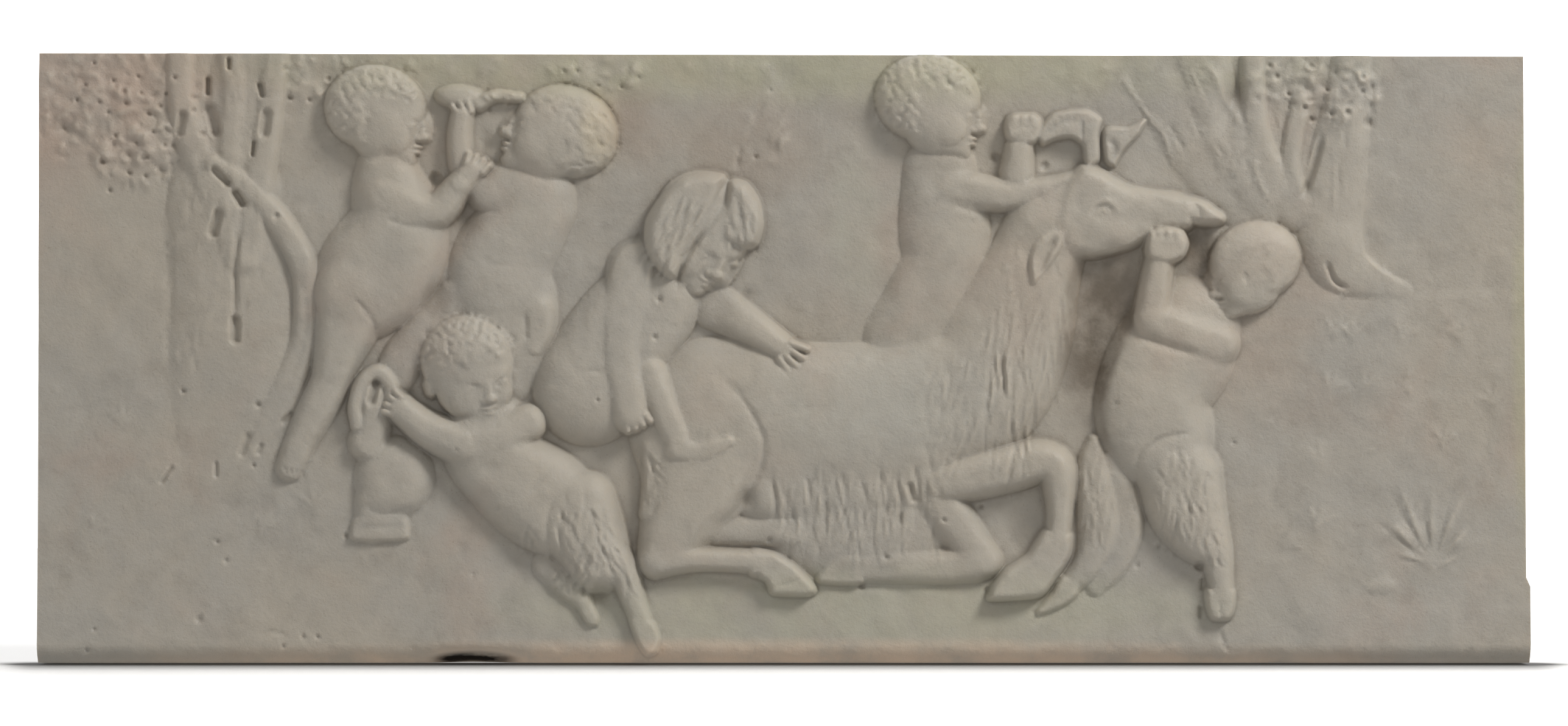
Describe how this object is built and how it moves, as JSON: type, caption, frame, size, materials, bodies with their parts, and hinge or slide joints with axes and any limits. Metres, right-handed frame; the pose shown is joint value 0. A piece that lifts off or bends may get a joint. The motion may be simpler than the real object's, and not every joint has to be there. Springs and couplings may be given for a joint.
{
  "type": "marble relief plaque",
  "caption": "Long rectangular wall plaque carved in relief with children and young satyrs around a goat among trees, with a flat back.",
  "frame": {"origin": "centre of the flat back, which goes against the wall", "axes": "+X to the right along the plaque as seen from the front, +Z to the top of the scene, +Y into the wall; the carving faces -Y"},
  "size_m": [0.7023, 0.0433, 0.287],
  "materials": {
    "relief_plaque": "worn carved marble with a grey patina and darker dirt in the hollows"
  },
  "bodies": {
    "root": {"relief_plaque": "relief_plaque"}
  },
  "joints": []
}
